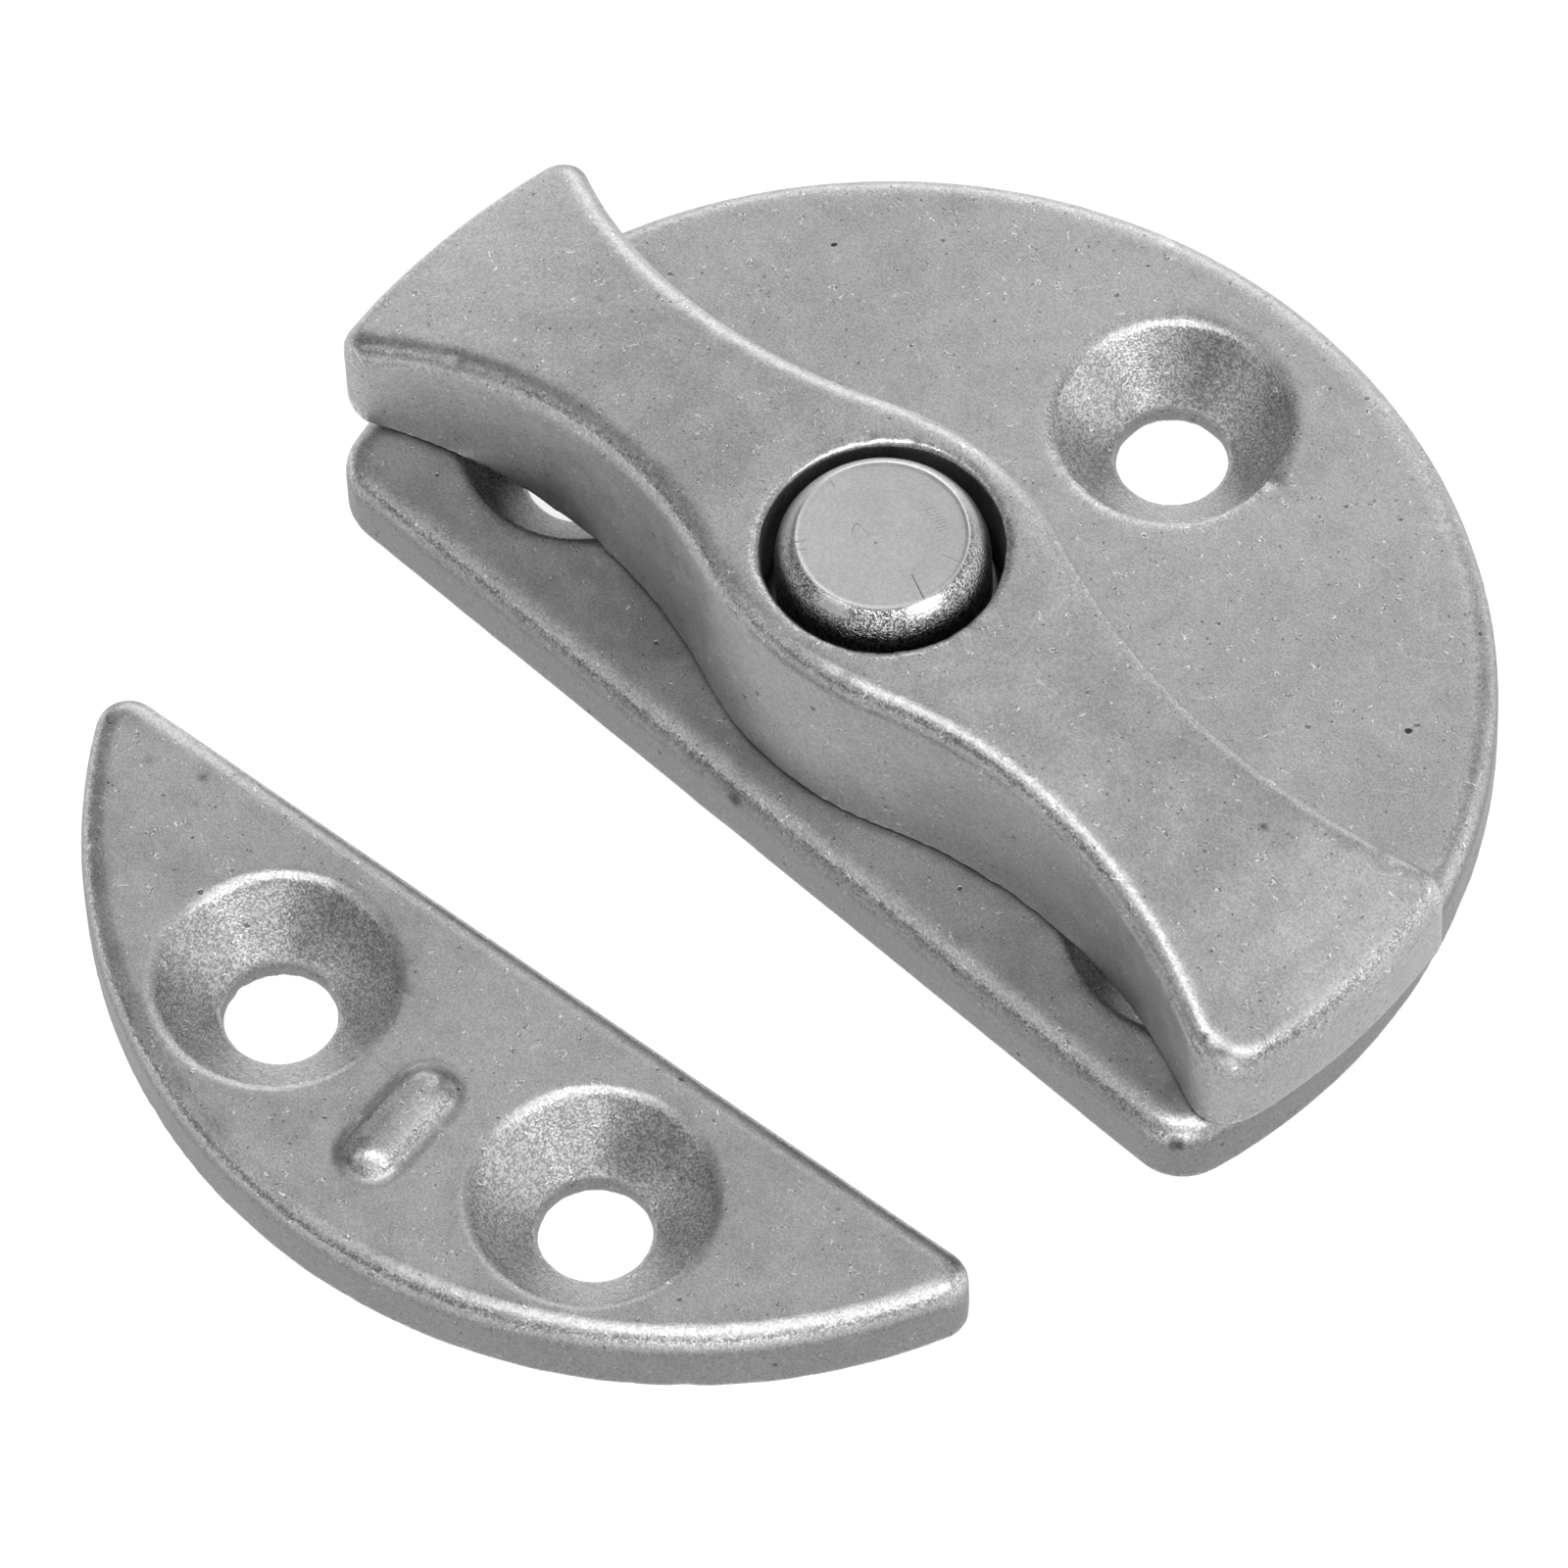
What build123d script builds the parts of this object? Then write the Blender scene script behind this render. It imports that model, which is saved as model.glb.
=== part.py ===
"""Turn-button cupboard catch in cast stainless steel.

A round plate, split along a chord, gives the base and its keeper. A humped lever turns on a
riveted pin over the base, and one of its tips swings over the rib of the keeper. The keeper lies
loose beside the base, a little askew.

The origin is where the pivot axis meets the back of the base. +Z runs along the pivot, out of the
plate, +Y points away from the base's straight edge, and the lever lies along X. Sizes are in mm.
"""
import os
from math import cos, hypot, pi, radians, sqrt, tan

from build123d import *

# Round plate that the base and the keeper are both cut from, and how far the pivot is set from
# its centre, away from the base's straight edge
plate_radius = 27.5
pivot_offset = 0.4
plate_thickness = 4.0
plate_edge_radius = 1.2
back_edge_break = 0.3

# Base: the larger part of the round
base_chord_offset = 8.7
base_corner_radius = 2.6

# Keeper: the smaller part of the round, and where it lies
keeper_tip_radius = 1.5
keeper_hole_spacing = 18.0
keeper_shift_x = -1.37
keeper_shift_y = -10.3
keeper_turn_degrees = 5.2

# Rib that the closed lever drops over, its middle set in from the round's edge
rib_inset = 6.8
rib_length = 6.6
rib_width = 2.8
rib_height = 0.9
rib_root_radius = 0.3
groove_clearance = 0.25

# Countersunk screw holes, and the metal left between a countersink and the edge
screw_hole_diameter = 5.1
screw_sink_diameter = 11.0
screw_sink_degrees = 90.0
sink_rim_break = 0.15
base_rim_land = 3.1
keeper_rim_land = 1.5
keeper_chord_land = 2.32

# Lever
lever_gap = 0.15
lever_thickness = 10.5
lever_rest_degrees = -1.3
hump_radius = 78.0
tip_overhang = 1.25
crown_wall = 1.6
crown_radius = 15.4
waist_half_width = 4.3
waist_radius = 25.6
lever_corner_radius = 1.35
lever_worn_corner_radius = 2.4
lever_edge_radius = 1.1
tip_under_radius = 1.6

# Pivot
pin_diameter = 5.0
pin_running_clearance = 0.05
pin_head_diameter = 9.6
pin_head_height = 4.2
pin_head_bevel_width = 0.8
pin_head_bevel_depth = 1.3
pin_head_bevel_bulge = 0.16
pin_head_proud = 0.8
rivet_lip = 1.5
rivet_degrees = 90.0
counterbore_gap = 0.6
counterbore_rim_break = 0.12

# Curved spring washer under the pin's head
washer_rim_clearance = 0.4
washer_bore_clearance = 0.25
washer_thickness = 0.5
washer_height = 1.5
washer_seat_gap = 0.05

# Length of each tool that cuts right through, and how near a radius must come to count as the same
cutter_reach = 120.0
match_tolerance = 0.01

# Places worked out from the sizes above
tip_radius = plate_radius + tip_overhang
rib_offset = plate_radius - rib_inset
sink_radius = screw_sink_diameter / 2
base_hole_offset = plate_radius - sink_radius - base_rim_land
keeper_hole_reach = plate_radius - sink_radius - keeper_rim_land
keeper_hole_offset = sqrt(keeper_hole_reach**2 - (keeper_hole_spacing / 2) ** 2)
keeper_chord_offset = keeper_hole_offset - sink_radius - keeper_chord_land
counterbore_diameter = pin_head_diameter + 2 * counterbore_gap
crown_half_width = counterbore_diameter / 2 + crown_wall
pin_head_flat_diameter = pin_head_diameter - 2 * pin_head_bevel_width
rivet_diameter = pin_diameter + 2 * rivet_lip
washer_outer_diameter = counterbore_diameter - 2 * washer_rim_clearance
washer_inner_diameter = pin_diameter + 2 * washer_bore_clearance
lever_bottom = plate_thickness + lever_gap
lever_top = lever_bottom + lever_thickness
pin_head_top = lever_top + pin_head_proud
pin_head_bottom = pin_head_top - pin_head_height
washer_top = pin_head_bottom - washer_seat_gap
counterbore_floor = washer_top - washer_height - washer_seat_gap
round_centre = Pos(0, -pivot_offset)
keeper_place = round_centre * Pos(keeper_shift_x, keeper_shift_y) * Rot(0, 0, keeper_turn_degrees)
lever_turn = Rot(0, 0, lever_rest_degrees)


def cone_depth(mouth_diameter, throat_diameter, included_degrees):
    """Height of a cone between its mouth and the hole that it runs into."""
    return (mouth_diameter - throat_diameter) / 2 / tan(radians(included_degrees / 2))


def segment_outline(chord_offset, keeps_centre, corner_radius):
    """The round plate's outline on one side of a chord below its centre, with soft corners."""
    side = Align.MIN if keeps_centre else Align.MAX
    half = Rectangle(cutter_reach, cutter_reach, align=(Align.CENTER, side))
    outline = Circle(plate_radius) & Pos(0, -chord_offset) * half
    return fillet(outline.vertices(), corner_radius)


def round_steps(radius):
    """Three narrow flats that touch a round of this radius: the 45 degree one's setback, then how
    much further its neighbours reach, and how wide each flat is.
    """
    flat = 2 * radius * tan(pi / 16)
    middle = radius * (2 - sqrt(2))
    return middle, radius - flat / 2 - middle, flat


def soften_rim(body, radius, lowest=False):
    """Soften the rim of a body's highest face, or its lowest, in three narrow flats.

    Each cut starts from the face that the last one left: first the flat beside the wall, then the
    middle one, then the one beside the face.
    """
    middle, step, flat = round_steps(radius)
    reach = middle + step
    beside_wall = reach * tan(pi / 8)
    cuts = [
        (beside_wall, reach),
        (middle - beside_wall, reach / cos(pi / 8) - flat),
        (step, step),
    ]
    for across_face, down_wall in cuts:
        face = body.faces().sort_by(Axis.Z, reverse=lowest)[-1]
        body = chamfer(face.edges(), across_face, down_wall, reference=face)
    return body


def plate(outline):
    """A cast plate: softened round its top edge, with a small break round its back."""
    body = soften_rim(extrude(outline, plate_thickness), plate_edge_radius)
    return chamfer(body.faces().sort_by(Axis.Z)[0].edges(), back_edge_break)


def screw_hole(x, y):
    """Tool for one countersunk screw hole, from the top of a plate through its back."""
    hole_radius = screw_hole_diameter / 2
    depth = cone_depth(screw_sink_diameter, screw_hole_diameter, screw_sink_degrees)
    hole = Pos(x, y) * Cylinder(hole_radius, cutter_reach)
    sink = Cone(hole_radius, sink_radius, depth, align=(Align.CENTER, Align.CENTER, Align.MAX))
    return hole + Pos(x, y, plate_thickness) * sink


def drill_screw_holes(body, centres):
    """Cut the screw holes and break the rim of each countersink."""
    for x, y in centres:
        body -= screw_hole(x, y)
    top = body.faces().filter_by(Plane.XY).sort_by(Axis.Z)[-1]
    rims = [
        edge
        for edge in top.edges().filter_by(GeomType.CIRCLE)
        if abs(edge.radius - sink_radius) < match_tolerance
    ]
    return chamfer(rims, sink_rim_break)


def rib_section():
    """Radius of the rib's round section, and the height of that circle's centre."""
    half_width = rib_width / 2
    section_radius = (half_width**2 + rib_height**2) / (2 * rib_height)
    return section_radius, plate_thickness + rib_height - section_radius


def rib_form():
    """A round bar with ball ends, sunk into the plate so that only the rib stands out."""
    section_radius, centre_height = rib_section()
    reach = (rib_length - rib_width) / 2
    bar = Rot(90, 0, 0) * Cylinder(section_radius, 2 * reach)
    bar += [Pos(0, end * reach) * Sphere(section_radius) for end in (-1, 1)]
    return Pos(0, 0, centre_height) * bar


def groove_form():
    """The groove that fits over the rib: the same round section, larger by the clearance."""
    section_radius, centre_height = rib_section()
    length = rib_length + 2 * groove_clearance
    bar = Rot(90, 0, 0) * Cylinder(section_radius + groove_clearance, length)
    return Pos(0, 0, centre_height) * bar


def make_base_plate():
    """Base with its screw holes, bored for the pin and sunk at the back for its riveted tail."""
    body = plate(segment_outline(base_chord_offset, True, base_corner_radius))
    centres = [(-base_hole_offset, 0), (0, base_hole_offset), (base_hole_offset, 0)]
    body = round_centre * drill_screw_holes(body, centres)
    return body - pin_shank()


def make_keeper_plate():
    """Keeper with its screw holes and its rib, square to the straight edge."""
    body = plate(segment_outline(keeper_chord_offset, False, keeper_tip_radius))
    body = drill_screw_holes(
        body, [(side * keeper_hole_spacing / 2, -keeper_hole_offset) for side in (-1, 1)]
    )
    low = (Align.CENTER, Align.CENTER, Align.MAX)
    below = Pos(0, 0, plate_thickness) * Box(cutter_reach, cutter_reach, cutter_reach, align=low)
    body += Pos(0, -rib_offset) * rib_form() - below
    top = body.faces().filter_by(Plane.XY).sort_by(Axis.Z)[-1]
    root = [
        edge
        for edge in top.edges()
        if abs(edge.center().X) < rib_width and abs(edge.center().Y + rib_offset) < rib_length
    ]
    body = fillet(root, rib_root_radius)
    return keeper_place * body


def tip_corner():
    """Where the waist arc meets the tip arc, by the crossing of their two circles."""
    waist_x, waist_y = waist_centre()
    apart = hypot(waist_x, waist_y)
    along = (tip_radius**2 - waist_radius**2 + apart**2) / (2 * apart)
    across = sqrt(tip_radius**2 - along**2)
    return (
        (along * waist_x + across * waist_y) / apart,
        (along * waist_y - across * waist_x) / apart,
    )


def waist_centre():
    """Centre of the hollow arc that touches the crown arc and just reaches the waist."""
    rise = waist_half_width + waist_radius - (crown_half_width - crown_radius)
    return sqrt((crown_radius + waist_radius) ** 2 - rise**2), waist_half_width + waist_radius


def lever_outline():
    """Bow-tie outline: a crown at the pivot, four hollow flanks and two tips round the pivot.

    The corner at +X, -Y is worn softer than the other three.
    """
    waist_x, waist_y = waist_centre()
    crown_y = crown_half_width - crown_radius
    share = crown_radius / (crown_radius + waist_radius)
    touch_x, touch_y = share * waist_x, crown_y + share * (waist_y - crown_y)
    tip_x, tip_y = tip_corner()
    arcs = []
    for up in (-1, 1):
        crown = [(-touch_x, up * touch_y), (0, up * crown_half_width), (touch_x, up * touch_y)]
        arcs.append(ThreePointArc(*crown))
        for right in (-1, 1):
            flank = [
                (right * touch_x, up * touch_y),
                (right * waist_x, up * waist_half_width),
                (right * tip_x, up * tip_y),
            ]
            arcs.append(ThreePointArc(*flank))
    for right in (-1, 1):
        tip = [(right * tip_x, -tip_y), (right * tip_radius, 0), (right * tip_x, tip_y)]
        arcs.append(ThreePointArc(*tip))
    outline = make_face(arcs)
    corners = [vertex for vertex in outline.vertices() if abs(vertex.X) > waist_x]
    crisp = [vertex for vertex in corners if vertex.X < 0 or vertex.Y > 0]
    outline = fillet(crisp, lever_corner_radius)
    worn = outline.vertices().sort_by_distance((tip_x, -tip_y))[0]
    return fillet(worn, lever_worn_corner_radius)


def rounded_disc():
    """Disc as wide as the lever whose lower rim is softened, which shapes the tips underneath."""
    disc = Pos(0, 0, lever_bottom) * Cylinder(
        tip_radius, lever_thickness, align=(Align.CENTER, Align.CENTER, Align.MIN)
    )
    return soften_rim(disc, tip_under_radius, lowest=True)


def wall_ridges(body):
    """Upper edges of the lever's upright walls."""
    walls = [face for face in body.faces() if abs(face.normal_at().Z) < match_tolerance]
    return [
        edge
        for wall in walls
        for edge in wall.edges()
        if edge.bounding_box().min.Z > lever_bottom + match_tolerance
        and abs(edge.tangent_at(0.5).Z) < 1 - match_tolerance
    ]


def soften_hump(body):
    """Soften the lever's rim in three flats: one at 45 degrees, then its upper and lower ridge."""
    middle, step, _ = round_steps(lever_edge_radius)
    for setback in (middle, step):
        body = chamfer(body.faces().sort_by(Axis.Z)[-1].edges(), setback)
    return chamfer(wall_ridges(body), step)


def make_turn_lever():
    """Lever with a long hump, bored and counterbored for the pin, grooved under both tips."""
    body = extrude(Pos(0, 0, lever_bottom) * lever_outline(), lever_thickness)
    hump = Pos(0, 0, lever_top - hump_radius) * Rot(90, 0, 0) * Cylinder(hump_radius, cutter_reach)
    body = soften_hump(body & hump) & rounded_disc()
    for quarter in (-90, 90):
        body -= Rot(0, 0, quarter) * Pos(0, rib_offset + pivot_offset) * groove_form()
    bore_radius = pin_diameter / 2 + pin_running_clearance
    body -= Pos(0, 0, lever_bottom) * Cylinder(bore_radius, cutter_reach)
    body -= Pos(0, 0, counterbore_floor) * Cylinder(
        counterbore_diameter / 2, lever_thickness, align=(Align.CENTER, Align.CENTER, Align.MIN)
    )
    wall = [
        face
        for face in body.faces().filter_by(GeomType.CYLINDER)
        if abs(face.radius - counterbore_diameter / 2) < match_tolerance
    ]
    rim = wall[0].edges().sort_by(Axis.Z)[-1]
    return lever_turn * chamfer(rim, counterbore_rim_break)


def pin_shank():
    """Shank of the pin and its riveted tail, which fills a countersink in the back of the base."""
    depth = cone_depth(rivet_diameter, pin_diameter, rivet_degrees)
    low = (Align.CENTER, Align.CENTER, Align.MIN)
    shank = Cylinder(pin_diameter / 2, pin_head_bottom, align=low)
    return shank + Cone(rivet_diameter / 2, pin_diameter / 2, depth, align=low)


def pin_head():
    """Turned head: a flat top, a slightly full bevel in two steps and a straight wall below."""
    flat_radius = pin_head_flat_diameter / 2
    head_radius = pin_head_diameter / 2
    bevel_bottom = pin_head_top - pin_head_bevel_depth
    middle = (
        (flat_radius + head_radius) / 2 + pin_head_bevel_bulge,
        (pin_head_top + bevel_bottom) / 2 + pin_head_bevel_bulge,
    )
    outline = Polyline(
        (0, pin_head_bottom),
        (0, pin_head_top),
        (flat_radius, pin_head_top),
        middle,
        (head_radius, bevel_bottom),
        (head_radius, pin_head_bottom),
        close=True,
    )
    return revolve(Plane.XZ * make_face(outline), Axis.Z)


def make_pivot_pin():
    """Headed pin, riveted flush into the back of the base."""
    return pin_shank() + pin_head()


def make_spring_washer():
    """Flat ring bent about Y into a bow: its crest bears on the pin's head, its ends on the lever."""
    sag = washer_height - washer_thickness
    bend_radius = ((washer_outer_diameter / 2) ** 2 + sag**2) / (2 * sag)
    ring = Pos(0, 0, washer_top) * (
        Cylinder(washer_outer_diameter / 2, cutter_reach)
        - Cylinder(washer_inner_diameter / 2, cutter_reach)
    )
    sheet = Cylinder(bend_radius + washer_thickness, cutter_reach)
    sheet -= Cylinder(bend_radius, cutter_reach)
    sheet = Pos(0, 0, washer_top - washer_thickness - bend_radius) * Rot(90, 0, 0) * sheet
    return (ring & sheet).solids().sort_by(Axis.Z)[-1]


def main():
    """Write each piece to its own file."""
    os.makedirs("parts", exist_ok=True)
    pieces = {
        "base_plate": make_base_plate(),
        "keeper_plate": make_keeper_plate(),
        "turn_lever": make_turn_lever(),
        "pivot_pin": make_pivot_pin(),
        "spring_washer": make_spring_washer(),
    }
    for name, piece in pieces.items():
        export_step(piece, f"parts/{name}.step")


main()
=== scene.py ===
"""Looks for the turn-button cupboard catch: camera, studio, worn castings and a turned pin.

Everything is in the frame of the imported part, in metres. Surfaces, marks and stains are given and
worked out in mm and brought to metres at the end.
"""
from itertools import product
from math import cos, pi, radians, sin

import bmesh
import bpy
import numpy as np
from mathutils import Matrix, Vector


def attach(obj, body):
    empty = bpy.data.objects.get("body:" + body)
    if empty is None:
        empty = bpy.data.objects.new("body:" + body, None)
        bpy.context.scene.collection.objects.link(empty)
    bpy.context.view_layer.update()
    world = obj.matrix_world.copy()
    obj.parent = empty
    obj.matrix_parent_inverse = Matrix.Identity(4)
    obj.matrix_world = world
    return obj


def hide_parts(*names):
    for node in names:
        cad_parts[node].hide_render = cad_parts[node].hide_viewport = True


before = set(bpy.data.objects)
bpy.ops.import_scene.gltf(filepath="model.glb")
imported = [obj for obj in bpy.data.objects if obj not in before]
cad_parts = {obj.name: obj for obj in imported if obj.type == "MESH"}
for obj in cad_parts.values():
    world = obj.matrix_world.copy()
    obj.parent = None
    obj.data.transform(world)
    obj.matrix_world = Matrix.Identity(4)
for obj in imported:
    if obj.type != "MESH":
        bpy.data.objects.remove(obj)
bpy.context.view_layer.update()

MM = 0.001

# Camera, as fitted to the outlines and the holes in the photograph
CAMERA_PLACE = (0.24017, -0.23348, 0.53266)
CAMERA_BACK = Vector((0.38456, -0.36311, 0.84868))
CAMERA_RIGHT = Vector((0.68654, 0.72709, 0.0))
CAMERA_UP = Vector((-0.61707, 0.58265, 0.5289))
CAMERA_ROLL = radians(-3.019)
LENS, SENSOR_WIDTH = 322.18, 36.0
NEAREST, FARTHEST = 0.05, 20.0

# Oval lamps one metre from the pivot: name, azimuth from +X, elevation, width, height, watts
LAMPS = (
    ("behind_left", 130, 17, 1.2, 0.5, 3.3),
    ("behind_right", 45, 16, 0.8, 0.45, 1.2),
    ("front_right", 315, 16, 0.45, 0.45, 1.35),
    ("right_high", 0, 48, 0.5, 0.5, 3.1),
    ("left_high", 120, 48, 0.5, 0.5, 0.8),
    ("front_left_high", 235, 40, 0.5, 0.5, 0.6),
    ("front_overhead", 300, 72, 0.5, 0.5, 3.5),
)

# Paper floor and the studio round it
FLOOR_HALF, FLOOR_LEVEL = 3.0, -0.00005
PAPER_GREY, SEEN_GREY, SEEN_GLOW = 0.8, 0.3, 0.86
LEFT_OF_ROOM, RIGHT_OF_ROOM, FOOT_OF_ROOM = 0.2, 0.46, 0.9

# What each mark keeps of the steel's own grey: 1 keeps all of it, more than 1 is brighter
# SHADE is what painted shade keeps; STAIN_AND_SHADOW is for real stains and a painted shadow line
SPECK, PIT, DOT, STAIN_AND_SHADOW, SHADE = 0.5, 0.45, 0.12, 0.3, 0.6
WORN_EDGE, HAIRLINE = 1.22, 1.18
# PIN_RIM_AND_HIGHLIGHT brightens the pin's rim and paints its two highlights
PIN_SCRATCH, PIN_RIM_AND_HIGHLIGHT = 0.4, 1.9

# Depth that a height of 1 stands for in the bump of each finish
CASTING_BUMP, TURNED_BUMP = 0.0000095, 0.000007

# Castings: how a mesh is relaxed, and the bend, the way that relaxing draws a point in, at which wear
# starts and over which it grows
RELAX_SHARE, SMOOTH_PASSES, BEND_PASSES = 0.5, 3, 10
WEAR_STARTS, WEAR_RANGE, HOLLOW_RANGE = 0.012, 0.04, 0.05

# Wear from which a point counts as an edge, height from which a face that looks down is an underside,
# and the direction of the far side, whose edges take painted shade
EDGE_WEAR = 0.55
CLEAR_OF_FLOOR = 0.5
FAR_SIDE = np.array((-0.6, 0.8, 0.0))

# Waves as height and length; dents as how many, radii and depths
WAVES = ((0.010, 3.2), (0.006, 1.3), (0.0035, 0.55))
EDGE_WAVE, EDGE_WAVE_LENGTH = 0.012, 1.0
FACE_DENTS = (90, (0.15, 0.5), (0.004, 0.02))
EDGE_DENTS = (60, (0.3, 0.8), (0.012, 0.05))

# Random values of the soft fields, and the step of each axis through their table
TABLE_LENGTH = 4096
TABLE_STEPS = np.array((1, 61, 3721))
CORNERS_OF_A_CELL = list(product((0, 1), repeat=3))

# Turned pin as radius and height: tail in its countersink, shank, then underside and wall of the head
PIN_FOOT = (
    (0.3, 0), (1.5, 0), (3.0, 0), (3.9, 0), (3.97, 0.04), (3.9, 0.12),
    (2.5, 1.5), (2.5, 6.0), (2.5, 11.2), (2.55, 11.25),
    (4.65, 11.25), (4.8, 11.4), (4.8, 12.0), (4.8, 12.8),
)
BEVEL_CENTRE, BEVEL_RADII = np.array((3.154, 13.6)), np.array((1.646, 2.04))
BEVEL_SWEEP, BEVEL_ROWS = radians(65), 22
FLAT_REACH = np.array((3.79, 3.72, 3.6, 3.2, 2.6, 2.0, 1.4, 0.8, 0.3))
HEAD_TOP, FLAT_RIM, DISH = 15.43, 15.448, 0.02
PIN_STEPS = 180
HEAD_STARTS = 13.0
# The camera side of the bevel is rougher and painted dark as a reflection; two painted highlights sit
# near its top.
ROUGH_AND_SHADED_SIDE, HIGHLIGHT_PLACES, HIGHLIGHT_WIDTH = radians(316), (radians(283), radians(342)), 0.2


def grey(level):
    """Opaque grey as a colour."""
    return (level, level, level, 1)


def put_in_scene(name, data):
    """New object, linked into the scene."""
    thing = bpy.data.objects.new(name, data)
    bpy.context.scene.collection.objects.link(thing)
    return thing


# Studio

def make_camera():
    """Long-lens camera at the photograph's viewing angle."""
    x_axis = CAMERA_RIGHT * cos(CAMERA_ROLL) + CAMERA_UP * sin(CAMERA_ROLL)
    y_axis = CAMERA_UP * cos(CAMERA_ROLL) - CAMERA_RIGHT * sin(CAMERA_ROLL)
    turn = Matrix((x_axis, y_axis, CAMERA_BACK)).transposed()
    data = bpy.data.cameras.new("camera")
    data.lens, data.sensor_width = LENS, SENSOR_WIDTH
    data.clip_start, data.clip_end = NEAREST, FARTHEST
    camera = put_in_scene("camera", data)
    camera.matrix_world = Matrix.Translation(CAMERA_PLACE) @ turn.to_4x4()
    bpy.context.scene.camera = camera


def make_lamp(name, azimuth, elevation, width, height, watts):
    """Oval soft lamp one metre from the pivot, at an azimuth from +X and an elevation in degrees."""
    data = bpy.data.lights.new(name, "AREA")
    data.shape = "ELLIPSE"
    data.size, data.size_y = width, height
    data.energy = watts
    round_z, up = radians(azimuth), radians(elevation)
    place = Vector((cos(round_z) * cos(up), sin(round_z) * cos(up), sin(up)))
    lamp = put_in_scene(name, data)
    lamp.location = place
    lamp.rotation_euler = (-place).to_track_quat("-Z", "Y").to_euler()


class Bench:
    """Lays nodes out in one tree; each call adds a node and feeds its sockets."""

    def __init__(self, tree):
        self.tree = tree

    def node(self, kind, feeds=None, **fields):
        """New node with its fields set and its sockets fed."""
        item = self.tree.nodes.new(kind)
        for name, value in fields.items():
            setattr(item, name, value)
        for socket, value in (feeds or {}).items():
            self.feed(item.inputs[socket], value)
        return item

    def feed(self, socket, value):
        """Link a socket to another, or set a fixed value on it."""
        if isinstance(value, bpy.types.NodeSocket):
            self.tree.links.new(value, socket)
        else:
            socket.default_value = value

    def math(self, operation, *values, clamp=False):
        """Sum, product or other operation on single values."""
        feeds = dict(enumerate(values))
        return self.node("ShaderNodeMath", feeds, operation=operation, use_clamp=clamp).outputs[0]

    def multiplied(self, value, factors):
        """Product of a value and every factor, in turn."""
        for factor in factors:
            value = self.math("MULTIPLY", value, factor)
        return value

    def vector(self, operation, first, second):
        """Operation on two vectors, or on a vector and a number for SCALE; returns the outputs."""
        other = "Scale" if operation == "SCALE" else 1
        feeds = {0: first, other: second}
        return self.node("ShaderNodeVectorMath", feeds, operation=operation).outputs

    def step(self, value, low, high, start=0.0, end=1.0):
        """Soft step of a value: start below low, end above high."""
        feeds = {"Value": value, "From Min": low, "From Max": high, "To Min": start, "To Max": end}
        item = self.node("ShaderNodeMapRange", feeds, interpolation_type="SMOOTHSTEP")
        return item.outputs["Result"]

    def spread(self, value, start, end):
        """Soft step over a whole mask: start where it is 0, end where it is 1."""
        return self.step(value, 0.0, 1.0, start, end)

    def kept(self, mask, share):
        """Factor that keeps all where a mask is 0, and this share where it is 1."""
        return self.spread(mask, 1.0, share)

    def noise(self, place, per_metre, detail=2.0, roughness=0.5):
        """Noise of so many cells per metre."""
        feeds = {"Vector": place, "Scale": per_metre, "Detail": detail, "Roughness": roughness}
        return self.node("ShaderNodeTexNoise", feeds).outputs["Fac"]

    def field(self, name):
        """A field that the piece carries on its points."""
        return self.node("ShaderNodeAttribute", attribute_name=name).outputs["Fac"]

    def effect(self, name, feeds):
        """A shared effect, placed with its own values; returns its outputs."""
        return self.node("ShaderNodeGroup", feeds, node_tree=effects[name]).outputs


def make_floor():
    """Pale paper that shows white to the camera and in gloss, and still takes a faint shadow.

    It lies just clear of the backs and is see-through from below, so that the backs can be looked at.
    """
    mesh = bpy.data.meshes.new("floor")
    signs = ((-1, -1), (1, -1), (1, 1), (-1, 1))
    corners = [(x * FLOOR_HALF, y * FLOOR_HALF, FLOOR_LEVEL) for x, y in signs]
    mesh.from_pydata(corners, [], [(0, 1, 2, 3)])
    floor = put_in_scene("floor", mesh)
    paper = bpy.data.materials.new("paper")
    paper.use_nodes = True
    paper.node_tree.nodes.clear()
    bench = Bench(paper.node_tree)
    rays = bench.node("ShaderNodeLightPath").outputs
    seen = bench.math("MAXIMUM", rays["Is Camera Ray"], rays["Is Glossy Ray"])
    seen = bench.math("MAXIMUM", seen, rays["Is Transmission Ray"])
    plain = bench.node("ShaderNodeBsdfDiffuse", {"Color": grey(PAPER_GREY)})
    faint = bench.node("ShaderNodeBsdfDiffuse", {"Color": grey(SEEN_GREY)})
    glow = bench.node("ShaderNodeEmission", {"Color": grey(1), "Strength": SEEN_GLOW})
    lit = bench.node("ShaderNodeAddShader", {0: faint.outputs[0], 1: glow.outputs[0]})
    front = bench.node("ShaderNodeMixShader", {0: seen, 1: plain.outputs[0], 2: lit.outputs[0]})
    back = bench.node("ShaderNodeNewGeometry").outputs["Backfacing"]
    clear = bench.node("ShaderNodeBsdfTransparent")
    both = bench.node("ShaderNodeMixShader", {0: back, 1: front.outputs[0], 2: clear.outputs[0]})
    bench.node("ShaderNodeOutputMaterial", {"Surface": both.outputs[0]})
    mesh.materials.append(paper)


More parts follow.
